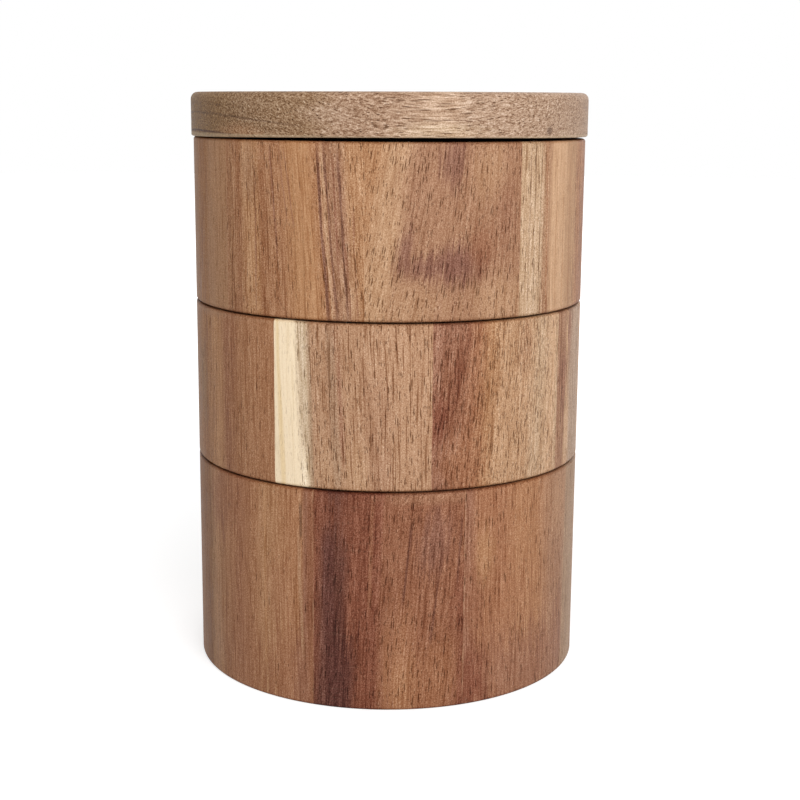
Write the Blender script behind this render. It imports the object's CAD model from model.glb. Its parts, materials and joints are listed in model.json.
"""The looks of a round acacia spice box: three tiers of mitred staves and a flat lid, all turning on one bolt.

The front is -Y. Angles are degrees round the box from the front towards +X, and sizes are millimetres
until a mesh is made.
"""

import json
import math
import random
from collections import namedtuple

import bmesh
import bpy
from mathutils import Matrix, Vector

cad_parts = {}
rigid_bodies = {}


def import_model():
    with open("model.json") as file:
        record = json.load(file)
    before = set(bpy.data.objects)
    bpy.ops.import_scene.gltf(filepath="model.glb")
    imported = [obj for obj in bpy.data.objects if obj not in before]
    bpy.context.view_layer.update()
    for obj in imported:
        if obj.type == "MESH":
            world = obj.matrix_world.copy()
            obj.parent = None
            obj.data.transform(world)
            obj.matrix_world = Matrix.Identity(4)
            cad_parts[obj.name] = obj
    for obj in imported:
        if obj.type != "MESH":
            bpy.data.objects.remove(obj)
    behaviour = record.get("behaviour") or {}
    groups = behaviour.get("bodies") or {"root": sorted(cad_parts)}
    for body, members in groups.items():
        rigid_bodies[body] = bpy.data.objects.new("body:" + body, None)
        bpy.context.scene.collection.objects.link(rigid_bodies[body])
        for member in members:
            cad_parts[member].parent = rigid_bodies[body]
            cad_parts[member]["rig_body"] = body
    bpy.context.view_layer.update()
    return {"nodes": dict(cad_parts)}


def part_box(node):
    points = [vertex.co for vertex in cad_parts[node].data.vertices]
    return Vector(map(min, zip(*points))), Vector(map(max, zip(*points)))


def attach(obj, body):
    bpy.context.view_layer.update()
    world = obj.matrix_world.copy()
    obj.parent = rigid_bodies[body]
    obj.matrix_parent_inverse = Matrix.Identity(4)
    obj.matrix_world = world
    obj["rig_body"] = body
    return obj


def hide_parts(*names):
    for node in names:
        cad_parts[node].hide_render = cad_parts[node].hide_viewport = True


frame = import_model()

# Sizes

MM = 0.001
TIERS = ("bottom", "middle", "top")
STAVES = 8
PITCH = 360 / STAVES
# The first seam of each tier, and how far in front of the axis its mitres meet, as the staves were cut
FIRST_SEAM = {"bottom": -22.0, "middle": -33.0, "top": -6.5}
MITRE_SHIFT = {"bottom": 2.6, "middle": 0.5, "top": 0.7}
# Angle of the glue line between the lid's two boards, from +X, which is also the way their grain runs
LID_GRAIN = 12.0
# Radius of the worn outer edges of the tiers, and of the lid's upper edge
EDGE_ROUND = 0.6
LID_ROUND = 1.6
LID_ARRIS = 0.45
# Depth of the glue line round a floor, and the room left round a magnet
FLOOR_ARRIS = 0.25
# Steps of a rounded corner, the widest step of a wall in degrees, and the steps of half the lid
CORNER_STEPS = 5
WALL_STEP = 0.9
LID_STEPS = 120
LID_RINGS = (0.25, 0.5, 0.75, 0.9)
# How far a cutter reaches past the wood
PAST = 1.0
# Staves of each tier that the bolt and the magnets are in
PIVOT_STAVE = 4
MAGNET_STAVE = 0
# The record's slots for the staves of each tier, in turn
# The bolt's socket, chamfers and thread, and the insert's
SOCKET_R = 2.5 / 2 / math.cos(math.radians(30))
SOCKET_DEPTH = 1.6
BOLT_CHAMFER = 0.3
BOLT_PITCH = 0.7
BOLT_THREAD = 0.25
INSERT_PITCH = 1.5
INSERT_THREAD = 0.4
INSERT_COLLAR = 0.8
INSERT_SUNK = 0.08
INSERT_HOLE_R = 2.02
INSERT_ROOM = 0.02
THREAD_STEPS = 6
# Washers and magnets
WASHER_HOLE_R = 2.1
WASHER_EDGE = 0.06
MAGNET_EDGE = 0.2
# Stretches of tone across a stave that the photo doesn't show
GUESSED_TONES = 6

Box = namedtuple("Box", "low high")


def box_mm(*nodes):
    """The box round some CAD nodes, in millimetres."""
    corners = [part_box(node) for node in nodes]
    low = [min(low[i] for low, high in corners) / MM for i in range(3)]
    high = [max(high[i] for low, high in corners) / MM for i in range(3)]
    return Box(Vector(low), Vector(high))


def stave_name(tier, index):
    return f"{tier}_stave_{index + 1}"


def tier_box(tier):
    return box_mm(*[stave_name(tier, i) for i in range(STAVES)])


TIER_BOX = {tier: tier_box(tier) for tier in TIERS}
FLOOR_BOX = {tier: box_mm(f"{tier}_floor") for tier in TIERS}
LID_BOX = box_mm("lid_front_board", "lid_rear_board")
OUTER_R = TIER_BOX["bottom"].high.x
FLOOR_R = FLOOR_BOX["bottom"].high.x
GLUE_GAP = 0.03
INNER_R = FLOOR_R + GLUE_GAP
LID_R = LID_BOX.high.x
BOLT_BOX = box_mm("pivot_bolt")
PIVOT = (BOLT_BOX.low + BOLT_BOX.high) / 2
WASHER_BOX = box_mm("bolt_washer")
INSERT_BOX = box_mm("lid_insert")
MAGNET_BOX = box_mm("bottom_rim_magnet")
MAGNET_SPOT = (MAGNET_BOX.low + MAGNET_BOX.high) / 2
MAGNET_R = (MAGNET_BOX.high.x - MAGNET_BOX.low.x) / 2
MAGNET_T = MAGNET_BOX.high.z - MAGNET_BOX.low.z
HEAD_R = (BOLT_BOX.high.x - BOLT_BOX.low.x) / 2
BOLT_R = 2.0
BORE_R = BOLT_R + 0.05
HEAD_H = WASHER_BOX.low.z - BOLT_BOX.low.z
COUNTERBORE_R = WASHER_BOX.high.x + 0.2
POCKET_R = MAGNET_R + 0.05


# Meshes


def polar(distance, degrees, z):
    """A point at a distance from the axis, at an angle from the front towards +X."""
    a = math.radians(degrees)
    return Vector((distance * math.sin(a), -distance * math.cos(a), z))


def seam_at(tier, seam, distance):
    """The angle at which a seam plane crosses a circle round the axis."""
    lag = math.asin(MITRE_SHIFT[tier] * math.sin(math.radians(seam)) / distance)
    return seam - math.degrees(lag)


def corner(r, z, radius, start, end):
    """Points of a rounded corner. The angles are those of its radius, from +r towards +z."""
    steps = [start + (end - start) * i / CORNER_STEPS for i in range(CORNER_STEPS + 1)]
    return [
        (r + radius * math.cos(math.radians(a)), z + radius * math.sin(math.radians(a)))
        for a in steps
    ]


def wall_profile(low, high):
    """The outline of a tier's wall, anticlockwise from the inner lower edge."""
    e = EDGE_ROUND
    points = [(INNER_R, low)]
    points += corner(OUTER_R - e, low + e, e, -90, 0)
    points += corner(OUTER_R - e, high - e, e, 0, 90)
    points += corner(INNER_R + e, high - e, e, 90, 180)
    return points


def finish_mesh(name, mesh_tool, sharp=35):
    """An object from a bmesh in millimetres, smooth where its faces turn by less than the sharp angle."""
    bmesh.ops.recalc_face_normals(mesh_tool, faces=mesh_tool.faces)
    mesh = bpy.data.meshes.new(name)
    mesh_tool.to_mesh(mesh)
    mesh_tool.free()
    mesh.transform(Matrix.Scale(MM, 4))
    mesh.shade_smooth()
    mesh.set_sharp_from_angle(angle=math.radians(sharp))
    made = bpy.data.objects.new(name, mesh)
    bpy.context.scene.collection.objects.link(made)
    return made


def grid_faces(mesh_tool, rows, closed_rows, closed_columns):
    """Quads between neighbouring rows of vertices."""
    row_count, column_count = len(rows), len(rows[0])
    for i in range(row_count if closed_rows else row_count - 1):
        here, after = rows[i], rows[(i + 1) % row_count]
        for j in range(column_count if closed_columns else column_count - 1):
            k = (j + 1) % column_count
            mesh_tool.faces.new((here[j], after[j], after[k], here[k]))


def stave_mesh(tier, index):
    """One stave: the wall's outline swept from seam plane to seam plane."""
    low, high = TIER_BOX[tier].low.z, TIER_BOX[tier].high.z
    start = FIRST_SEAM[tier] + index * PITCH
    profile = wall_profile(low, high)
    steps = math.ceil(PITCH / WALL_STEP)
    mesh_tool = bmesh.new()
    rows = []
    for i in range(steps + 1):
        row = []
        for r, z in profile:
            a = seam_at(tier, start, r)
            b = seam_at(tier, start + PITCH, r)
            row.append(mesh_tool.verts.new(polar(r, a + (b - a) * i / steps, z)))
        rows.append(row)
    grid_faces(mesh_tool, rows, closed_rows=False, closed_columns=True)
    mesh_tool.faces.new(rows[0])
    mesh_tool.faces.new(list(reversed(rows[-1])))
    return finish_mesh(stave_name(tier, index) + "_wood", mesh_tool)


def lathe_mesh(name, profile, centre, steps=64, radius_at=None):
    """A turned solid: an open profile that starts and ends on the axis, or a closed one off it."""
    mesh_tool = bmesh.new()
    off_axis = [point for point in profile if point[0] > 0]
    closed = len(off_axis) == len(profile)
    rows = []
    for i in range(steps):
        turn = 360 * i / steps
        row = []
        for r, z in off_axis:
            distance = radius_at(r, z, turn) if radius_at else r
            spot = polar(distance, turn, z)
            row.append(mesh_tool.verts.new((centre.x + spot.x, centre.y + spot.y, z)))
        rows.append(row)
    grid_faces(mesh_tool, rows, closed_rows=True, closed_columns=closed)
    if not closed:
        mesh_tool.faces.new([row[0] for row in rows])
        mesh_tool.faces.new([row[-1] for row in rows])
    return finish_mesh(name, mesh_tool)


def disc_profile(radius, low, high, lower_edge, upper_edge):
    """A disc's outline from the axis and back, with its edges chamfered."""
    return [
        (0, low),
        (radius - lower_edge, low),
        (radius, low + lower_edge),
        (radius, high - upper_edge),
        (radius - upper_edge, high),
        (0, high),
    ]


def washer_profile(hole_r, radius, low, high, edge):
    return [
        (hole_r, low),
        (radius - edge, low),
        (radius, low + edge),
        (radius, high - edge),
        (radius - edge, high),
        (hole_r, high),
    ]


def cut_round(piece, spot, radius, low, high, sides=48):
    """Cuts an upright round hole, or one with a few flat sides, into a piece."""
    cutter = lathe_mesh("cutter", disc_profile(radius, low, high, 0, 0), spot, steps=sides)
    cut = piece.modifiers.new("cut", "BOOLEAN")
    cut.operation = "DIFFERENCE"
    cut.solver = "EXACT"
    cut.object = cutter
    shown = piece.evaluated_get(bpy.context.evaluated_depsgraph_get())
    mesh = bpy.data.meshes.new_from_object(shown)
    piece.modifiers.clear()
    piece.data = mesh
    bpy.data.objects.remove(cutter)
    mesh.shade_smooth()
    mesh.set_sharp_from_angle(angle=math.radians(35))


def lid_warp(spot):
    """How far a point of the lid has moved up since it was cut flat. It has cupped, and is low at the left."""
    x, y = spot.x / LID_R, spot.y / LID_R
    share = (spot.z - LID_BOX.low.z) / (LID_BOX.high.z - LID_BOX.low.z)
    under = 0.45 * y * y - 0.15 * x * x + 0.2 * x - 0.35
    upper = 0.2 * x - 0.2
    return under + (upper - under) * share


def lid_board_mesh(name, start):
    """Half of the lid: its outline swept half a turn from an angle, with flat faces along the glue line."""
    low, high = LID_BOX.low.z, LID_BOX.high.z
    rings = [LID_R * share for share in LID_RINGS]
    profile = [(r, low) for r in rings]
    profile += corner(LID_R - LID_ARRIS, low + LID_ARRIS, LID_ARRIS, -90, 0)
    profile += corner(LID_R - LID_ROUND, high - LID_ROUND, LID_ROUND, 0, 90)
    profile += [(r, high) for r in reversed(rings)]
    mesh_tool = bmesh.new()
    under = mesh_tool.verts.new((0, 0, low))
    upper = mesh_tool.verts.new((0, 0, high))
    rows = []
    for i in range(LID_STEPS + 1):
        turn = start + 180 * i / LID_STEPS
        rows.append([mesh_tool.verts.new(polar(r, turn, z)) for r, z in profile])
    grid_faces(mesh_tool, rows, closed_rows=False, closed_columns=False)
    for here, after in zip(rows, rows[1:]):
        mesh_tool.faces.new((under, here[0], after[0]))
        mesh_tool.faces.new((upper, after[-1], here[-1]))
    mesh_tool.faces.new([under, *rows[0], upper, *reversed(rows[-1])])
    for vertex in mesh_tool.verts:
        vertex.co.z += lid_warp(vertex.co)
    return finish_mesh(name, mesh_tool)


def thread_wave(z, turn, pitch):
    """0 on the crest of a thread and 1 at its root."""
    return abs(2 * ((z / pitch - turn / 360) % 1) - 1)


def thread_rows(low, high, pitch):
    steps = math.ceil((high - low) / pitch * THREAD_STEPS)
    return [low + (high - low) * i / steps for i in range(steps + 1)]


def bolt_mesh():
    """The pivot bolt: a round head with a hexagon socket below, and a thread at the upper end."""
    low, high = BOLT_BOX.low.z, BOLT_BOX.high.z
    thread_low, thread_high = INSERT_BOX.low.z, high - BOLT_CHAMFER
    profile = [
        (0, low),
        (HEAD_R - BOLT_CHAMFER, low),
        (HEAD_R, low + BOLT_CHAMFER),
        (HEAD_R, low + HEAD_H),
        (BOLT_R, low + HEAD_H),
    ]
    profile += [(BOLT_R, z) for z in thread_rows(thread_low, thread_high, BOLT_PITCH)]
    profile += [(BOLT_R - BOLT_CHAMFER, high), (0, high)]

    def radius_at(r, z, turn):
        if r == BOLT_R and thread_low < z < thread_high:
            return r - BOLT_THREAD * thread_wave(z, turn, BOLT_PITCH)
        return r

    piece = lathe_mesh("pivot_bolt_steel", profile, PIVOT, radius_at=radius_at)
    cut_round(piece, PIVOT, SOCKET_R, low - PAST, low + SOCKET_DEPTH, sides=6)
    return piece


def insert_mesh():
    """The threaded insert: a sleeve with a coarse thread outside, which bites into the lid."""
    low, high = INSERT_BOX.low.z + INSERT_SUNK, INSERT_BOX.high.z
    outer_r = (INSERT_BOX.high.x - INSERT_BOX.low.x) / 2
    profile = [(INSERT_HOLE_R, low), (outer_r, low)]
    profile += [(outer_r, z) for z in thread_rows(low + INSERT_COLLAR, high - INSERT_COLLAR, INSERT_PITCH)]
    profile += [(outer_r - BOLT_CHAMFER, high), (INSERT_HOLE_R, high)]

    def radius_at(r, z, turn):
        if r == outer_r and low + INSERT_COLLAR < z < high - INSERT_COLLAR:
            return r - INSERT_THREAD * thread_wave(z, turn, INSERT_PITCH)
        return r

    return lathe_mesh("lid_insert_brass", profile, PIVOT, radius_at=radius_at)


def drill_stave(piece, tier, index):
    """The bore for the bolt in the rear stave, and the magnets' pockets in the front one."""
    low, high = TIER_BOX[tier].low.z, TIER_BOX[tier].high.z
    if index == PIVOT_STAVE:
        cut_round(piece, PIVOT, BORE_R, low - PAST, high + PAST)
        if tier == "bottom":
            cut_round(piece, PIVOT, COUNTERBORE_R, low - PAST, WASHER_BOX.high.z)
    if index == MAGNET_STAVE:
        cut_round(piece, MAGNET_SPOT, POCKET_R, high - MAGNET_T, high + PAST)
        if tier != "bottom":
            cut_round(piece, MAGNET_SPOT, POCKET_R, low - PAST, low + MAGNET_T)


def put(piece, node, material):
    """Lets a piece stand for a CAD node and ride on its body."""
    piece.data.materials.clear()
    piece.data.materials.append(material)
    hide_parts(node)
    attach(piece, frame["nodes"][node]["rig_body"])


# Camera

CAMERA_SPOT = Vector((0, -368.7, 137.73))
CAMERA_PITCH = 11.40
CAMERA_YAW = -0.467
CAMERA_ROLL = 0.43
CAMERA_LENS = 66.85


def add_camera():
    data = bpy.data.cameras.new("camera")
    data.lens = CAMERA_LENS
    data.sensor_width = 36
    data.clip_start = 0.01
    camera = bpy.data.objects.new("camera", data)
    turn = (
        Matrix.Rotation(math.radians(CAMERA_YAW), 4, "Z")
        @ Matrix.Rotation(math.radians(90 - CAMERA_PITCH), 4, "X")
        @ Matrix.Rotation(math.radians(CAMERA_ROLL), 4, "Z")
    )
    camera.matrix_world = Matrix.Translation(CAMERA_SPOT * MM) @ turn
    bpy.context.scene.collection.objects.link(camera)
    bpy.context.scene.camera = camera


def add_lamp(name, azimuth, elevation, distance, size, level):
    """A square soft lamp aimed at the box. Its level is the brightness of a white surface that faces it."""
    data = bpy.data.lights.new(name, "AREA")
    data.shape = "SQUARE"
    data.size = size
    data.energy = level * (math.pi * distance) ** 2
    lamp = bpy.data.objects.new(name, data)
    target = Vector((0, 0, 0.07))
    flat = distance * math.cos(math.radians(elevation))
    spot = polar(flat, azimuth, distance * math.sin(math.radians(elevation))) + target
    lamp.location = spot
    lamp.rotation_euler = (target - spot).to_track_quat("-Z", "Y").to_euler()
    bpy.context.scene.collection.objects.link(lamp)


# Node graphs


class Wire:
    """An output of a node. Sums and products with numbers and other wires make Math nodes."""

    def __init__(self, graph, socket):
        self.graph = graph
        self.socket = socket

    def __add__(self, other):
        return self.graph.math("ADD", self, other)

    def __sub__(self, other):
        return self.graph.math("SUBTRACT", self, other)

    def __rsub__(self, other):
        return self.graph.math("SUBTRACT", other, self)

    def __mul__(self, other):
        return self.graph.math("MULTIPLY", self, other)

    def __abs__(self):
        return self.graph.math("ABSOLUTE", self)

    def step(self, low, high):
        """0 below low and 1 above high, or the other way round where low is the larger."""
        values = {"Value": self, "From Min": low, "From Max": high}
        if isinstance(low, (int, float)) and low > high:
            values = {"Value": self, "From Min": high, "From Max": low, "To Min": 1.0, "To Max": 0.0}
        return self.graph.add("ShaderNodeMapRange", "Result", values, interpolation_type="SMOOTHSTEP")

    __radd__ = __add__
    __rmul__ = __mul__


class Graph:
    """The nodes of one material. Places are in millimetres, in the object's own frame."""

    def __init__(self, name):
        self.material = bpy.data.materials.new(name)
        self.material.use_nodes = True
        self.tree = self.material.node_tree
        self.shader = self.tree.nodes["Principled BSDF"]

    def plug(self, socket, value):
        if isinstance(value, Wire):
            self.tree.links.new(value.socket, socket)
        else:
            socket.default_value = value

    def add(self, kind, output, values, **settings):
        """A node with its settings and inputs. Returns one of its outputs as a wire."""
        node = self.tree.nodes.new(kind)
        for key, value in settings.items():
            setattr(node, key, value)
        for key, value in values.items():
            self.plug(node.inputs[key], value)
        return Wire(self, node.outputs[output])

    def math(self, operation, a, b=0.0):
        return self.add("ShaderNodeMath", 0, {0: a, 1: b}, operation=operation)

    def vector(self, x, y, z):
        return self.add("ShaderNodeCombineXYZ", 0, {0: x, 1: y, 2: z})

    def parts(self, vector):
        """The three numbers of a vector."""
        x = self.add("ShaderNodeSeparateXYZ", 0, {0: vector})
        outputs = x.socket.node.outputs
        return x, Wire(self, outputs[1]), Wire(self, outputs[2])

    def place(self, turn=0.0, shift=(0, 0, 0)):
        """Where a point of the surface is, after a turn about the axis in degrees."""
        spot = self.add("ShaderNodeTexCoord", "Object", {})
        values = {
            "Vector": spot,
            "Location": shift,
            "Rotation": (0, 0, math.radians(turn)),
            "Scale": (1 / MM, 1 / MM, 1 / MM),
        }
        return self.add("ShaderNodeMapping", 0, values)

    def stretched(self, vector, size):
        scale = tuple(1 / s for s in size)
        return self.add("ShaderNodeVectorMath", 0, {0: vector, 1: scale}, operation="MULTIPLY")

    def noise(self, vector, size, detail=2.0, roughness=0.5):
        """Soft noise from 0 to 1, about a half, with lumps of a size given along each way."""
        values = {"Vector": self.stretched(vector, size), "Scale": 1.0, "Detail": detail, "Roughness": roughness}
        return self.add("ShaderNodeTexNoise", 0, values)

    def cells(self, vector, size):
        """The distance from the middle of scattered cells, and a random number for each."""
        values = {"Vector": self.stretched(vector, size), "Scale": 1.0}
        distance = self.add("ShaderNodeTexVoronoi", "Distance", values)
        chance = self.parts(Wire(self, distance.socket.node.outputs["Color"]))[0]
        return distance, chance

    def ramp(self, value, stops, smooth=False):
        """Colours along a value from 0 to 1."""
        made = self.add("ShaderNodeValToRGB", 0, {0: value})
        ramp = made.socket.node.color_ramp
        ramp.interpolation = "EASE" if smooth else "LINEAR"
        ramp.elements.remove(ramp.elements[1])
        for i, (position, colour) in enumerate(stops):
            element = ramp.elements[0] if i == 0 else ramp.elements.new(position)
            element.position = position
            element.color = (*colour, 1)
        return made

    def mix(self, factor, a, b, blend="MIX"):
        values = {0: factor, 6: a, 7: b}
        return self.add("ShaderNodeMix", 2, values, data_type="RGBA", blend_type=blend)

    def dim(self, colour, value):
        """A colour made lighter or darker by a factor."""
        return self.add("ShaderNodeVectorMath", 0, {0: colour, 3: value}, operation="SCALE")

    def shade(self, colour, value):
        """Wood made lighter and paler by a value above 0, or darker and richer by one below."""
        rich = self.add("ShaderNodeGamma", 0, {0: colour, 1: 1.0 - value * 0.6})
        return self.dim(rich, value * 0.45 + 1.0)

    def bump(self, height, depth):
        values = {"Height": height, "Distance": depth * MM, "Strength": 1.0}
        return self.add("ShaderNodeBump", 0, values)

    def surface(self, **values):
        for name, value in values.items():
            self.plug(self.shader.inputs[name.replace("_", " ")], value)
        return self.material


# Wood


def srgb(*levels):
    """A colour from 0 to 255 as the shaders' linear values."""
    return tuple((v / 255 / 12.92) if v < 11 else ((v / 255 + 0.055) / 1.055) ** 2.4 for v in levels)


TONES = {
    "cream": srgb(253, 230, 196),
    "butter": srgb(243, 214, 168),
    "ivory": srgb(217, 194, 161),
    "oat": srgb(203, 162, 127),
    "straw": srgb(194, 160, 128),
    "sand": srgb(184, 143, 109),
    "honey": srgb(181, 132, 93),
    "tan": srgb(172, 130, 99),
    "fawn": srgb(159, 116, 88),
    "ginger": srgb(166, 117, 83),
    "smoke": srgb(161, 128, 101),
    "rust": srgb(155, 105, 75),
    "cocoa": srgb(145, 99, 76),
    "chestnut": srgb(137, 88, 63),
    "mulberry": srgb(124, 73, 53),
    "plum": srgb(99, 59, 47),
    "damson": srgb(88, 50, 42),
    "umber": srgb(79, 52, 39),
    "drab": srgb(149, 117, 88),
    "bronze": srgb(150, 106, 70),
    "bark": srgb(137, 103, 69),
    "amber": srgb(156, 105, 64),
    "russet": srgb(134, 88, 52),
    "clay": srgb(165, 132, 107),
    "bone": srgb(203, 176, 145),
    "caramel": srgb(172, 126, 90),
    "grape": srgb(126, 84, 68),
    "sienna": srgb(149, 97, 64),
    "putty": srgb(174, 143, 119),
    "biscuit": srgb(186, 154, 128),
}
# What an open pore makes of the colour round it
PORE_TINT = (0.27, 0.17, 0.09, 1)

# What a stave looks like. The tones are given by angle round the box. The grain leans over to the right
# by so many degrees at the stave's left and right edges. Grain is how strong its fine lines are, threads
# how strong the long dark ones are, and pores how many of the wood's cells are open. Calm takes a share
# of all three away between two angles, and fades in over some millimetres before the first.
Look = namedtuple("Look", "tones lean grain threads pores scratches streaks clouds calm",
                  defaults=((0, 0), 1.0, 0.4, 0.4, 0.06, (), (), None))
# A streak runs from an angle and a height above the tier's underside to another angle and height.
Streak = namedtuple("Streak", "low_angle low high_angle high width tone strength")
# A cloud is a soft patch of colour.
Cloud = namedtuple("Cloud", "angle height half_width half_height tone strength")


def fine_figure(graph, fibres):
    """Noise of the fibres in four sizes, each about 0: broad bands, lines, hair lines and specks."""
    broad = graph.noise(fibres, (3.0, 3.0, 70), 2.0) - 0.5
    lines = graph.noise(fibres, (0.8, 0.8, 30), 2.0, 0.6) - 0.5
    hairs = graph.noise(fibres, (0.38, 0.38, 6.5), 1.0, 0.6) - 0.5
    specks = graph.noise(fibres, (0.24, 0.24, 0.3), 1.0, 0.6) - 0.5
    return broad, lines, hairs, specks


def open_pores(graph, fibres, size, share, width):
    """1 inside the open pores: spindles along the grain in a share of cells of a size."""
    distance, chance = graph.cells(fibres, size)
    return distance.step(width, width * 0.5) * chance.step(1 - share, 1.03 - share)


def finish_wood(graph, colour, hairs, specks, pores):
    """The oiled surface that all the wood has."""
    deep = graph.mix(1.0, colour, PORE_TINT, "MULTIPLY")
    colour = graph.mix(pores * 0.85, colour, deep)
    height = hairs + specks * 0.5 - pores * 1.5
    return graph.surface(
        Base_Color=colour,
        Roughness=0.52 + hairs * 0.4 + pores * 0.2,
        Specular_IOR_Level=0.12,
        Normal=graph.bump(height, 0.05),
    )


def stave_wood(name, look, tier, index):
    """The wood of one stave, with its grain upright."""
    low, high = TIER_BOX[tier].low.z, TIER_BOX[tier].high.z
    first = FIRST_SEAM[tier] + index * PITCH
    centre = first + PITCH / 2
    graph = Graph(name)
    x, y, z = graph.parts(graph.place(turn=-centre))
    up = z - low
    middle = (high - low) / 2
    half = OUTER_R * math.sin(math.radians(PITCH / 2 + 3))

    def across(angle):
        return OUTER_R * math.sin(math.radians(angle - centre))

    # The grain's own lines: leaning, and waving a little along the stave
    left_lean, right_lean = (math.tan(math.radians(a)) for a in look.lean)
    share = x * (0.5 / half) + 0.5
    lean = share * (right_lean - left_lean) + left_lean
    wave = graph.noise(graph.vector(x, y, z + centre * 7), (14, 14, 30), 1.0) - 0.5
    line = x - lean * (up - middle) + wave * 1.6
    depth = OUTER_R - graph.math("SQRT", x * x + y * y)
    fibres = graph.vector(line, y, z + centre * 13)
    broad, lines, hairs, specks = fine_figure(graph, fibres)

    # Tones across the stave
    ring = line + depth * 0.35 + lines * 1.6
    stops = [(0.5 + across(angle) / (2 * half), TONES[tone]) for angle, tone in look.tones]
    colour = graph.ramp(ring * (0.5 / half) + 0.5, stops)

    ragged = hairs * 1.3 + lines * 1.3
    grain, live = look.grain, 1.0
    if look.calm:
        left, right = (across(angle) for angle in look.calm[:2])
        calm = line.step(left - look.calm[3], left) * line.step(right + 0.8, right - 0.8)
        live = 1.0 - calm * look.calm[2]
        grain = live * grain
    for cloud in look.clouds:
        dx = (line - across(cloud.angle)) * (1 / cloud.half_width)
        dz = (up - cloud.height) * (1 / cloud.half_height)
        far = graph.math("SQRT", dx * dx + dz * dz) + ragged
        colour = graph.mix(far.step(1.3, 0.3) * cloud.strength, colour, (*TONES[cloud.tone], 1))
    for streak in look.streaks:
        a, b = across(streak.low_angle), across(streak.high_angle)
        along = (up - streak.low) * (1 / (streak.high - streak.low))
        beside = abs(x + wave * 0.8 + ragged * 0.5 - (along * (b - a) + a))
        ends = along.step(-0.12, 0.12) * along.step(1.12, 0.88)
        edge = beside.step(streak.width * 1.2, streak.width * 0.4) * ends * streak.strength
        colour = graph.mix(edge, colour, (*TONES[streak.tone], 1))

    # Fibres and fine lines make it lighter and darker
    thin = graph.noise(fibres, (0.42, 0.42, 14), 1.0).step(0.43, 0.31) * -look.threads + look.threads * 0.16
    figure = (broad * 0.35 + lines * 0.6 + hairs * 1.05) * grain + thin * live
    colour = graph.shade(colour, figure + specks * (0.75 + look.grain * 0.9) * live)

    # Glue shows here and there as a pale line along the seams
    turned = graph.parts(graph.place())
    seams = [
        turned[0] * math.cos(a) + turned[1] * math.sin(a) + MITRE_SHIFT[tier] * math.sin(a)
        for a in (math.radians(first), math.radians(first + PITCH))
    ]
    seam = graph.math("MINIMUM", seams[0], seams[1] * -1.0)
    patches = graph.noise(graph.vector(x, y, z), (9, 9, 7), 2.0).step(0.46, 0.62)
    colour = graph.mix(seam.step(0.16, 0.04) * patches * 0.6, colour, (*TONES["oat"], 1))

    # Sanding left fine light lines across the grain
    sanding = graph.noise(graph.vector(x, y, z), (5, 5, 0.2), 2.0)
    scratches = sanding.step(0.52, 0.85) * look.scratches
    colour = graph.mix(scratches, colour, (*TONES["ivory"], 1))

    # The edges are dark from handling, and the end grain drinks more oil
    tall = high - low
    edges = graph.math("MAXIMUM", up.step(0.9, 0.1), up.step(tall - 0.7, tall - 0.1))
    ends = graph.math("MAXIMUM", up.step(0.35, 0.02), up.step(tall - 0.35, tall - 0.02))
    colour = graph.shade(colour, edges * -0.35 - ends * 0.05)

    large = open_pores(graph, fibres, (0.46, 0.46, 4.2), look.pores, 0.34)
    small = open_pores(graph, fibres, (0.34, 0.34, 1.6), look.pores, 0.34)
    pores = graph.math("MAXIMUM", large, small * 0.8) * live
    return finish_wood(graph, colour, hairs, specks, pores)


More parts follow.
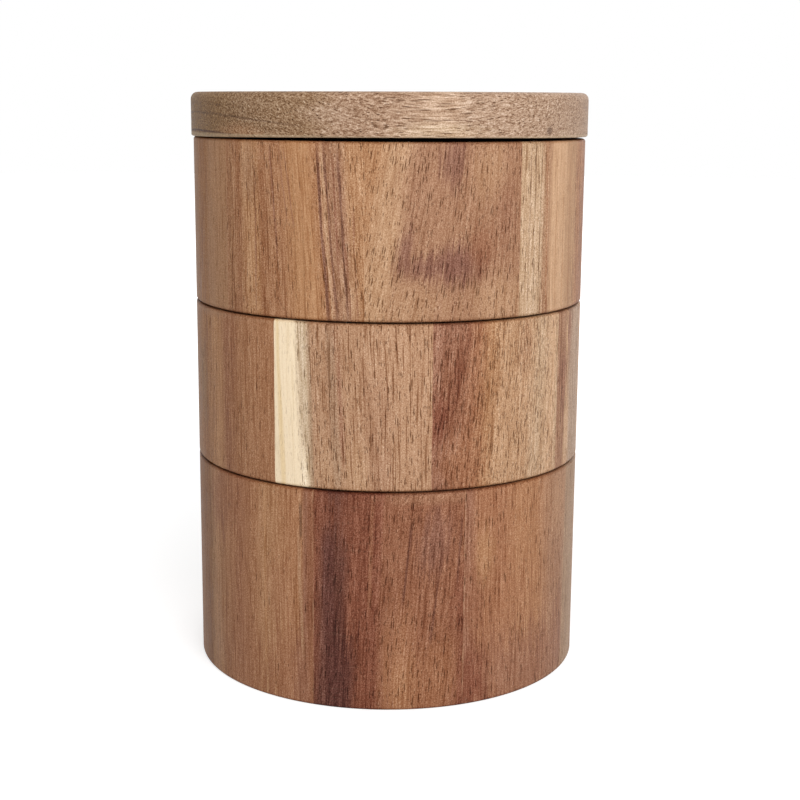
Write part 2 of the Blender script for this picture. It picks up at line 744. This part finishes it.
LOOKS = {
    "top_stave_7": Look(
        tones=(
            (-96, "ginger"), (-84, "tan"), (-76, "bronze"), (-70, "amber"), (-64, "amber"), (-60, "caramel"),
            (-51.5, "caramel"),
        ),
        grain=0.5,
        pores=0.05,
        scratches=0.14,
    ),
    "top_stave_8": Look(
        tones=(
            (-51.5, "ginger"), (-45, "ginger"), (-42, "honey"), (-38.5, "honey"), (-35.5, "ginger"),
            (-30, "ginger"), (-26, "honey"), (-21, "honey"), (-18, "ginger"), (-15, "fawn"), (-12, "tan"),
            (-9, "caramel"), (-6.5, "caramel"),
        ),
        lean=(-1, -5),
        grain=0.85,
        threads=0.42,
        pores=0.3,
        scratches=0.1,
        calm=(-24.5, -19.5, 0.4, 6.0),
        streaks=(
            Streak(-50.9, 0, -50.9, 26, 0.18, "cocoa", 0.6),
            Streak(-48.5, 0, -48.5, 38, 1.2, "bronze", 0.25),
            Streak(-44.9, 0, -45.0, 38, 0.8, "sienna", 0.45),
            Streak(-38.8, 0, -38.8, 30, 0.2, "cocoa", 0.6),
            Streak(-36.0, 0, -36.4, 34, 1.0, "sienna", 0.7),
            Streak(-31.4, 14, -33.4, 37, 0.3, "cocoa", 0.75),
            Streak(-28.2, 22, -30.6, 38, 0.2, "cocoa", 0.6),
            Streak(-26.2, 20, -28.8, 37, 0.2, "cocoa", 0.6),
            Streak(-25.6, 4, -26.2, 34, 0.2, "bronze", 0.5),
            Streak(-22.8, 0, -23.4, 20, 0.2, "bronze", 0.5),
            Streak(-11.8, 12, -14.2, 37, 1.8, "cocoa", 0.45),
            Streak(-16.2, 0, -19.2, 37, 0.4, "plum", 0.8),
            Streak(-15.0, 0, -18.0, 37, 0.35, "sand", 0.6),
            Streak(-13.7, 0, -17.4, 37, 0.28, "plum", 0.65),
            Streak(-13.2, 10, -14.9, 34, 0.2, "mulberry", 0.6),
            Streak(-10.6, 0, -13.6, 36, 0.32, "plum", 0.7),
            Streak(-9.9, 0, -11.6, 18, 0.25, "mulberry", 0.5),
            Streak(-8.2, 0, -9.4, 24, 0.2, "cocoa", 0.5),
        ),
        clouds=(Cloud(-40.5, 32, 2.5, 8, "tan", 0.6),),
    ),
    "top_stave_1": Look(
        tones=((-6.5, "caramel"), (-3.5, "sand"), (1, "sand"), (4.5, "fawn"), (14, "fawn"), (30, "fawn"),
               (38.5, "fawn")),
        lean=(11, 2),
        grain=0.65,
        threads=0.2,
        pores=0.5,
        clouds=(
            Cloud(26, 33, 5, 7, "sand", 0.5),
            Cloud(34, 4, 9, 7, "sand", 0.6),
            Cloud(4, 31, 4, 9, "fawn", 0.5),
            Cloud(4, 3, 12, 7, "sand", 0.6),
            Cloud(15, 35, 3.4, 7, "grape", 0.8),
            Cloud(19, 12.5, 7.5, 5, "grape", 1.0),
            Cloud(5, 16, 2.0, 5, "grape", 0.8),
            Cloud(11, 12, 6, 3.2, "grape", 0.8),
            Cloud(26, 16, 3.5, 6, "chestnut", 0.7),
            Cloud(33, 23, 3, 9, "cocoa", 0.5),
        ),
    ),
    "top_stave_2": Look(
        tones=(
            (38.5, "straw"), (45.5, "straw"), (47.5, "tan"), (49.5, "tan"), (51.5, "oat"), (57, "oat"),
            (61, "sand"), (65, "sand"), (68.5, "ginger"), (73, "rust"), (83, "rust"),
        ),
        grain=1.05,
        threads=0.5,
        pores=0.3,
        streaks=(
            Streak(41.2, 0, 41.4, 38, 0.22, "smoke", 0.7),
            Streak(43.6, 0, 43.0, 38, 0.25, "drab", 0.6),
            Streak(45.4, 0, 45.8, 38, 0.22, "drab", 0.7),
            Streak(49.2, 0, 48.4, 38, 0.3, "sienna", 0.7),
            Streak(53.5, 0, 53.5, 38, 0.25, "honey", 0.5),
            Streak(58.0, 0, 57.6, 38, 0.25, "honey", 0.6),
            Streak(62.0, 0, 61.8, 38, 0.3, "ginger", 0.5),
        ),
        calm=(50, 66, 0.5, 0.8),
    ),
    "middle_stave_7": Look(tones=((-123, "ginger"), (-108, "rust"), (-90, "ginger"), (-78, "bronze"))),
    "middle_stave_8": Look(
        tones=((-78, "bronze"), (-70, "amber"), (-64, "amber"), (-60, "honey"), (-56, "honey"), (-52.5, "rust"),
               (-47, "ginger"), (-33, "ginger")),
        grain=0.75,
        threads=0.3,
        pores=0.15,
        clouds=(
            Cloud(-60, 37.5, 18, 1.5, "tan", 0.6),
            Cloud(-69, 20, 3, 12, "bark", 0.5),
            Cloud(-50, 30, 3, 9, "rust", 0.6),
        ),
    ),
    "middle_stave_1": Look(
        tones=((-33, "cream"), (-31.6, "cream"), (-30.7, "butter"), (-29.8, "cream"), (-25.6, "cream"), (-24.4, "bone"), (-22.5, "bone"), (-20.5, "tan"), (-17, "tan"),
               (-14, "fawn"), (-11, "tan"), (4, "tan"), (12, "tan")),
        lean=(-3, 0),
        grain=0.7,
        threads=0.65,
        pores=0.45,
        calm=(-34, -25, 0.7, 1.0),
        streaks=(
            Streak(-13.4, 0, -15.8, 36, 1.2, "smoke", 0.55),
            Streak(-11.9, 6, -13.2, 30, 0.5, "cocoa", 0.6),
            Streak(-20.6, 0, -22.0, 37, 0.3, "drab", 0.6),
        ),
        clouds=(
            Cloud(-24, 1, 1.2, 9, "cream", 0.8),
            Cloud(-15, 4, 5, 8, "sand", 0.5),
            Cloud(-8, 4, 3, 7, "sand", 0.6),
            Cloud(-2, 4, 3.5, 8, "fawn", 0.8),
            Cloud(-3, 18, 4, 12, "fawn", 0.6),
        ),
    ),
    "middle_stave_2": Look(
        tones=((12, "cocoa"), (17, "cocoa"), (24, "rust"), (28, "caramel"), (33, "sand"), (42, "sand"),
               (47, "straw"), (54, "oat"), (57, "straw")),
        lean=(5, 1),
        grain=0.85,
        threads=0.35,
        pores=0.85,
        clouds=(
            Cloud(17, 23, 3.5, 12, "chestnut", 0.8),
            Cloud(13.4, 16, 2.4, 7, "mulberry", 1.0),
            Cloud(17.5, 25, 1.4, 6, "mulberry", 0.5),
            Cloud(20, 34, 1.6, 4, "mulberry", 0.5),
            Cloud(22, 6, 6, 7, "rust", 0.7),
            Cloud(40, 31, 2.5, 7, "tan", 0.8),
        ),
    ),
    "middle_stave_3": Look(
        tones=((57, "fawn"), (61, "fawn"), (63, "sand"), (66, "putty"), (74, "putty"), (80, "sand"), (90, "tan"), (102, "fawn")),
        grain=0.9,
        pores=0.2,
        clouds=(
            Cloud(60.5, 22, 2.2, 8, "cocoa", 0.8),
            Cloud(65, 33, 1.6, 9, "cocoa", 0.8),
            Cloud(64.5, 6, 1.8, 12, "oat", 0.9),
        ),
    ),
    "bottom_stave_7": Look(tones=((-112, "rust"), (-98, "ginger"), (-86, "rust"), (-78, "russet"), (-67, "russet")), grain=0.5, pores=0.1),
    "bottom_stave_8": Look(
        tones=((-67, "russet"), (-64, "bronze"), (-60, "caramel"), (-52, "ginger"), (-47, "rust"), (-40, "ginger"),
               (-36, "caramel"), (-28, "ginger"), (-24.5, "ginger"), (-23.2, "cocoa"), (-22, "chestnut")),
        grain=0.65,
        threads=0.3,
        pores=0.1,
        streaks=(
            Streak(-23.9, 12, -25.2, 40, 0.5, "tan", 0.7),
            Streak(-36.5, 10, -36.5, 50, 0.4, "honey", 0.6),
            Streak(-24.6, 40, -24.6, 48, 0.3, "umber", 0.6),
        ),
        clouds=(
            Cloud(-54, 45, 8, 10, "rust", 0.9),
            Cloud(-46, 6, 8, 14, "rust", 0.6),
            Cloud(-28, 6, 8, 14, "rust", 0.9),
            Cloud(-32, 26, 4, 10, "rust", 0.5),
            Cloud(-24.5, 6, 2.5, 14, "cocoa", 0.7),
            Cloud(-59, 9, 2, 16, "tan", 0.5),
        ),
    ),
    "bottom_stave_1": Look(
        tones=((-22, "chestnut"), (-21, "mulberry"), (-17.5, "plum"), (-13, "plum"), (-10, "mulberry"),
               (-3, "mulberry"), (0, "chestnut"), (8, "chestnut"), (20, "chestnut"), (23, "mulberry")),
        lean=(2, 5),
        grain=0.85,
        threads=0.3,
        pores=0.4,
        streaks=(
            Streak(-15.6, 8, -16.6, 42, 1.6, "damson", 0.7),
            Streak(-5.0, 24, -4.0, 50, 0.5, "chestnut", 0.8),
            Streak(-1.5, 24, 0.0, 50, 0.6, "chestnut", 0.8),
            Streak(4.4, 26, 6.6, 44, 0.35, "plum", 0.7),
            Streak(12.2, 16, 14.0, 30, 0.3, "plum", 0.6),
            Streak(19.6, 30, 20.6, 46, 0.3, "plum", 0.6),
        ),
        clouds=(
            Cloud(-12, 5, 4.5, 16, "damson", 0.9),
            Cloud(-3.5, 5, 3.8, 13, "mulberry", 0.9),
            Cloud(-19, 46, 3, 7, "mulberry", 0.7),
            Cloud(-11, 46, 4, 9, "mulberry", 0.8),
            Cloud(5, 9, 4.5, 17, "rust", 0.95),
            Cloud(7, 5, 4, 9, "ginger", 0.9),
            Cloud(12, 40, 4, 9, "grape", 0.7),
            Cloud(15, 6, 6, 12, "rust", 0.9),
            Cloud(20.5, 27, 2.4, 9, "mulberry", 0.7),
            Cloud(10, 50.5, 12, 1.8, "fawn", 0.5),
        ),
    ),
    "bottom_stave_2": Look(
        tones=((23, "cocoa"), (26, "rust"), (34, "rust"), (40, "ginger"), (48, "ginger"), (56, "fawn"),
               (62, "fawn"), (68, "smoke")),
        grain=0.7,
        threads=0.3,
        pores=0.25,
        scratches=0.1,
        clouds=(
            Cloud(42, 5, 18, 14, "cocoa", 0.85),
            Cloud(24.5, 5, 4.2, 12, "mulberry", 1.0),
            Cloud(25, 25, 3.2, 10, "chestnut", 0.9),
            Cloud(28, 36, 2.5, 8, "caramel", 0.7),
            Cloud(40, 24, 6, 9, "rust", 0.5),
            Cloud(62, 44, 7, 10, "tan", 0.8),
            Cloud(60, 6, 5, 14, "cocoa", 0.6),
        ),
    ),
    "bottom_stave_3": Look(tones=((68, "smoke"), (76, "smoke"), (84, "tan"), (96, "ginger"), (113, "fawn")), grain=0.6, pores=0.2),
}
# Tones that go together in one stave
FAMILIES = (
    ("honey", "tan", "ginger", "fawn", "sand"),
    ("cocoa", "rust", "chestnut", "mulberry", "fawn"),
    ("oat", "straw", "sand", "tan", "straw"),
    ("ginger", "rust", "honey", "cocoa", "ginger"),
)


def guessed_look(name, centre):
    """A look for a stave that the photo doesn't show."""
    pick = random.Random(name)
    family = pick.choice(FAMILIES)
    edge = centre - PITCH / 2
    tones = tuple((edge + PITCH * i / GUESSED_TONES, pick.choice(family)) for i in range(GUESSED_TONES + 1))
    lean = pick.uniform(-4, 4)
    angle = edge + PITCH * pick.uniform(0.2, 0.8)
    streak = Streak(angle, 0, angle + lean / 2, 36, pick.uniform(0.3, 1.0), "mulberry", pick.uniform(0.3, 0.8))
    return Look(
        tones=tones,
        lean=(lean, lean),
        grain=pick.uniform(0.6, 1.3),
        pores=pick.uniform(0.1, 0.6),
        streaks=(streak,),
    )


def flat_tones(graph, place, tones, radius):
    """Tones from side to side of a round board."""
    stops = [(0.5 + 0.5 * math.sin(math.radians(angle)), TONES[tone]) for angle, tone in tones]
    return graph.ramp(place * (0.5 / radius) + 0.5, stops)


# The tones of the lid's rim by angle, and of its faces across the grain, with a step at the glue line
LID_TONES = (
    (-90, "bark"), (-54, "bark"), (-42, "drab"), (-22, "drab"), (-12, "clay"), (2, "clay"), (11, "biscuit"),
    (16, "biscuit"), (20, "putty"), (45, "putty"), (58, "putty"), (90, "clay"),
)
LID_FACE_TONES = (
    (-90, "clay"), (-55, "tan"), (-40, "clay"), (-28, "smoke"), (-18, "tan"), (-8, "putty"), (-0.2, "clay"),
    (0.2, "fawn"), (12, "tan"), (24, "drab"), (34, "tan"), (48, "clay"), (62, "fawn"), (90, "tan"),
)
LID_CLOUDS = (
    Cloud(-16, 5, 7, 2.5, "putty", 0.6),
    Cloud(13, 1.0, 11, 2.5, "bone", 0.55),
    Cloud(-44, 0.5, 6, 2.5, "caramel", 0.5),
)
# Growth rings that show at the lid's left end: how high each one's arch is, and how strong
GROWTH_LINES = ((5.0, 0.45), (0.95, 0.95))
RING_BEND = 0.003
RING_MIDDLE = -9.0
RING_TAPER = 0.05
KNOT_ANGLE = 48.0
KNOT_HEIGHT = 1.5


def lid_wood():
    """The lid's wood, with its grain lying flat: dashes at the front, end grain at the left and right."""
    graph = Graph("lid_wood")
    world_x, world_y, world_z = graph.parts(graph.place())
    along, across, z = graph.parts(graph.place(turn=-LID_GRAIN))
    up = z - LID_BOX.low.z
    distance = graph.math("SQRT", world_x * world_x + world_y * world_y)
    rim = distance.step(LID_R - 2.6, LID_R - 1.0)
    face = 1.0 - rim

    # The grain swings a little from side to side, in short waves at the rim and in long ones on the faces
    short = graph.noise(graph.vector(along, across, z), (20, 8, 6), 2.0) - 0.5
    long = graph.noise(graph.vector(along, across, z), (90, 24, 30), 1.0) - 0.5
    aside = short * rim * 1.2 + long * face * 7.0
    fibres = graph.vector(across + aside, z + short * 0.8, along)
    broad, lines, hairs, specks = fine_figure(graph, fibres)
    rim_colour = flat_tones(graph, world_x + short * 6.0, LID_TONES, LID_R)
    face_colour = flat_tones(graph, across + aside * 0.3 + lines * 2.0 * face, LID_FACE_TONES, LID_R)
    colour = graph.mix(rim, face_colour, rim_colour)

    # Growth rings and soft patches
    front = world_y.step(0, -1)
    bend = (across - RING_MIDDLE) * (across - RING_MIDDLE) * RING_BEND
    arch = up + bend + short * 0.5
    left = world_x.step(-12, -30) * rim
    for height, strength in GROWTH_LINES:
        ring = abs(arch - height).step(0.35, 0.08) * left * strength
        colour = graph.mix(ring, colour, (*TONES["umber"], 1))
    for cloud in LID_CLOUDS:
        dx = (world_x - LID_R * math.sin(math.radians(cloud.angle))) * (1 / cloud.half_width)
        dz = (up - cloud.height) * (1 / cloud.half_height)
        far = graph.math("SQRT", dx * dx + dz * dz) + lines
        colour = graph.mix(far.step(1.3, 0.3) * front * rim * cloud.strength, colour, (*TONES[cloud.tone], 1))
    rim_bands = graph.noise(graph.vector(arch, 0.0, along), (1.6, 1.6, 200), 2.0) - 0.5
    cathedral = bend * 2.0 + along * RING_TAPER + aside * 0.4
    face_bands = graph.noise(graph.vector(cathedral, 0.0, 0.0), (1.3, 1.0, 1.0), 2.0, 0.6) - 0.5

    # Flecks at the rim lean over as they do in the cut ends of the fibres
    slant = graph.vector((across - z) * 0.7, (across + z) * 0.7, along)
    flecks = (graph.noise(slant, (0.3, 0.6, 5.0), 1.0, 0.6) - 0.5) * rim
    ends = abs(world_x).step(LID_R * 0.9, LID_R)
    rim_figure = rim_bands * (ends * 0.8 + 0.4) + lines * 0.35 + hairs * 1.5 + flecks * 1.9 + specks * 2.1
    face_figure = face_bands * 0.9 + broad * 0.4 + lines * 0.6 + hairs * 0.9 + specks * 0.9
    figure = rim_figure * rim + face_figure * face
    colour = graph.shade(colour, graph.math("MINIMUM", figure, figure * 0.7) + 0.05)

    # A small knot at the right, a pale worn edge below, and the glue line between the boards
    knot_x = (world_x - LID_R * math.sin(math.radians(KNOT_ANGLE))) * 1.4
    knot_z = up - KNOT_HEIGHT
    knot = graph.math("SQRT", knot_x * knot_x + knot_z * knot_z) + specks
    colour = graph.mix(knot.step(1.3, 0.5) * front * 0.65, colour, (*TONES["umber"], 1))
    colour = graph.mix(up.step(0.55, 0.2) * rim * 0.4, colour, (*TONES["ivory"], 1))
    colour = graph.mix(abs(across).step(0.14, 0.04) * 0.5, colour, (*TONES["umber"], 1))

    dashes = open_pores(graph, fibres, (0.6, 0.5, 7.0), 0.5, 0.28)
    dots = open_pores(graph, fibres, (0.4, 0.36, 3.0), 0.5, 0.28)
    slits = open_pores(graph, fibres, (0.55, 0.45, 9.0), 0.8, 0.3) * rim * abs(world_x - 7).step(20, 9)
    pores = graph.math("MAXIMUM", graph.math("MAXIMUM", dashes, dots * 0.6), slits)
    return finish_wood(graph, colour, hairs + flecks, specks, pores)


def floor_wood(tier):
    """A floor board, with its grain lying flat."""
    graph = Graph(tier + "_floor_wood")
    pick = random.Random(tier)
    across, along, z = graph.parts(graph.place(turn=pick.uniform(0, 180)))
    wave = graph.noise(graph.vector(across, along, z), (12, 40, 12), 1.0) - 0.5
    fibres = graph.vector(across + wave * 3.0, z, along)
    broad, lines, hairs, specks = fine_figure(graph, fibres)
    tones = tuple((-90 + 30 * i, pick.choice(FAMILIES[0])) for i in range(7))
    colour = flat_tones(graph, across + wave * 3.0 + lines * 2.0, tones, FLOOR_R)
    colour = graph.shade(colour, broad * 0.5 + lines * 0.5 + hairs * 0.8 + specks * 0.5)
    pores = open_pores(graph, fibres, (0.55, 0.55, 5.0), 0.4, 0.30)
    return finish_wood(graph, colour, hairs, specks, pores)


# Metals

METALS = {
    "steel": ((0.66, 0.66, 0.67), 0.34),
    "dull_steel": ((0.30, 0.29, 0.28), 0.55),
    "nickel": ((0.46, 0.45, 0.43), 0.38),
    "brass": ((0.75, 0.58, 0.30), 0.30),
}


def metal(name):
    colour, roughness = METALS[name]
    graph = Graph(name)
    spot = graph.place()
    stains = graph.noise(spot, (1.2, 1.2, 1.2), 3.0) - 0.5
    marks = graph.noise(spot, (0.12, 0.8, 0.12), 2.0) - 0.5
    return graph.surface(
        Base_Color=graph.dim(colour, stains * 0.3 + 1.0),
        Metallic=1.0,
        Roughness=stains * 0.25 + marks * 0.15 + roughness,
        Normal=graph.bump(marks, 0.006),
    )


# Pieces


def add_staves():
    for tier in TIERS:
        for index in range(STAVES):
            name = stave_name(tier, index)
            centre = FIRST_SEAM[tier] + (index + 0.5) * PITCH
            look = LOOKS.get(name) or guessed_look(name, centre)
            piece = stave_mesh(tier, index)
            drill_stave(piece, tier, index)
            put(piece, name, stave_wood(name + "_wood", look, tier, index))


def add_floors():
    for tier in TIERS:
        box = FLOOR_BOX[tier]
        profile = disc_profile(FLOOR_R, box.low.z, box.high.z, FLOOR_ARRIS, FLOOR_ARRIS)
        piece = lathe_mesh(tier + "_floor_board", profile, Vector((0, 0, 0)), steps=96)
        put(piece, tier + "_floor", floor_wood(tier))


def add_lid():
    material = lid_wood()
    front = lid_board_mesh("lid_front_wood", LID_GRAIN - 90)
    cut_round(front, MAGNET_SPOT, POCKET_R, LID_BOX.low.z - PAST, LID_BOX.low.z + MAGNET_T)
    put(front, "lid_front_board", material)
    rear = lid_board_mesh("lid_rear_wood", LID_GRAIN + 90)
    insert_r = (INSERT_BOX.high.x - INSERT_BOX.low.x) / 2
    cut_round(rear, PIVOT, insert_r + INSERT_ROOM, LID_BOX.low.z - PAST, INSERT_BOX.high.z)
    put(rear, "lid_rear_board", material)


def add_washer(node, hole_r, material):
    box = box_mm(node)
    profile = washer_profile(hole_r, (box.high.x - box.low.x) / 2, box.low.z, box.high.z, WASHER_EDGE)
    put(lathe_mesh(node + "_steel", profile, PIVOT), node, material)


def add_magnet(node, material):
    box = box_mm(node)
    profile = disc_profile(MAGNET_R, box.low.z, box.high.z, MAGNET_EDGE, MAGNET_EDGE)
    put(lathe_mesh(node + "_nickel", profile, MAGNET_SPOT), node, material)


def add_hardware():
    steel, dull_steel, nickel, brass = (metal(name) for name in METALS)
    put(bolt_mesh(), "pivot_bolt", steel)
    put(insert_mesh(), "lid_insert", brass)
    add_washer("bolt_washer", WASHER_HOLE_R, steel)
    for tier in TIERS:
        add_washer(tier + "_gap_washer", WASHER_HOLE_R, dull_steel)
    rims = [tier + "_rim_magnet" for tier in TIERS]
    for node in (*rims, "middle_base_magnet", "top_base_magnet", "lid_magnet"):
        add_magnet(node, nickel)


# Stage

FLOOR_RADIUS = 2.5
AMBIENT = 0.325


def seen_directly(tree):
    """1 for rays from the camera, off a shiny surface or through glass, and 0 for the light on the box."""
    rays = tree.nodes.new("ShaderNodeLightPath")
    total = rays.outputs["Is Camera Ray"]
    for name in ("Is Glossy Ray", "Is Transmission Ray"):
        larger = tree.nodes.new("ShaderNodeMath")
        larger.operation = "MAXIMUM"
        tree.links.new(total, larger.inputs[0])
        tree.links.new(rays.outputs[name], larger.inputs[1])
        total = larger.outputs[0]
    return total


def add_world():
    world = bpy.data.worlds.new("world")
    bpy.context.scene.world = world
    world.use_nodes = True
    tree = world.node_tree
    background = tree.nodes["Background"]
    background.inputs["Color"].default_value = (1, 1, 1, 1)
    level = tree.nodes.new("ShaderNodeMapRange")
    level.inputs["To Min"].default_value = AMBIENT
    level.inputs["To Max"].default_value = 1.0
    tree.links.new(seen_directly(tree), level.inputs["Value"])
    tree.links.new(level.outputs["Result"], background.inputs["Strength"])


def floor_material():
    """Matt white, with a white of its own where it is seen, so that it only shows the box's soft shadow."""
    material = bpy.data.materials.new("floor")
    material.use_nodes = True
    tree = material.node_tree
    shader = tree.nodes["Principled BSDF"]
    shader.inputs["Base Color"].default_value = (0.6, 0.6, 0.6, 1)
    shader.inputs["Roughness"].default_value = 0.9
    shader.inputs["Specular IOR Level"].default_value = 0.0
    shader.inputs["Emission Color"].default_value = (1, 1, 1, 1)
    place = tree.nodes.new("ShaderNodeTexCoord")
    distance = tree.nodes.new("ShaderNodeVectorMath")
    distance.operation = "LENGTH"
    tree.links.new(place.outputs["Object"], distance.inputs[0])
    glow = tree.nodes.new("ShaderNodeMapRange")
    glow.inputs["From Min"].default_value = 0.08
    glow.inputs["From Max"].default_value = 0.5
    glow.inputs["To Min"].default_value = 0.65
    glow.inputs["To Max"].default_value = 1.0
    tree.links.new(distance.outputs["Value"], glow.inputs["Value"])
    seen = tree.nodes.new("ShaderNodeMath")
    seen.operation = "MULTIPLY"
    tree.links.new(seen_directly(tree), seen.inputs[0])
    tree.links.new(glow.outputs["Result"], seen.inputs[1])
    tree.links.new(seen.outputs[0], shader.inputs["Emission Strength"])
    return material


def add_floor():
    mesh_tool = bmesh.new()
    bmesh.ops.create_circle(mesh_tool, cap_ends=True, segments=96, radius=FLOOR_RADIUS)
    mesh = bpy.data.meshes.new("floor")
    mesh_tool.to_mesh(mesh)
    mesh_tool.free()
    floor = bpy.data.objects.new("floor", mesh)
    floor.data.materials.append(floor_material())
    bpy.context.scene.collection.objects.link(floor)


add_staves()
add_floors()
add_lid()
add_hardware()
add_camera()
add_floor()
add_world()
add_lamp("key", 17, 28, 1.1, 0.6, 0.825)
add_lamp("back", 158, 30, 1.2, 1.2, 0.3)
bpy.context.scene.view_settings.view_transform = "Standard"
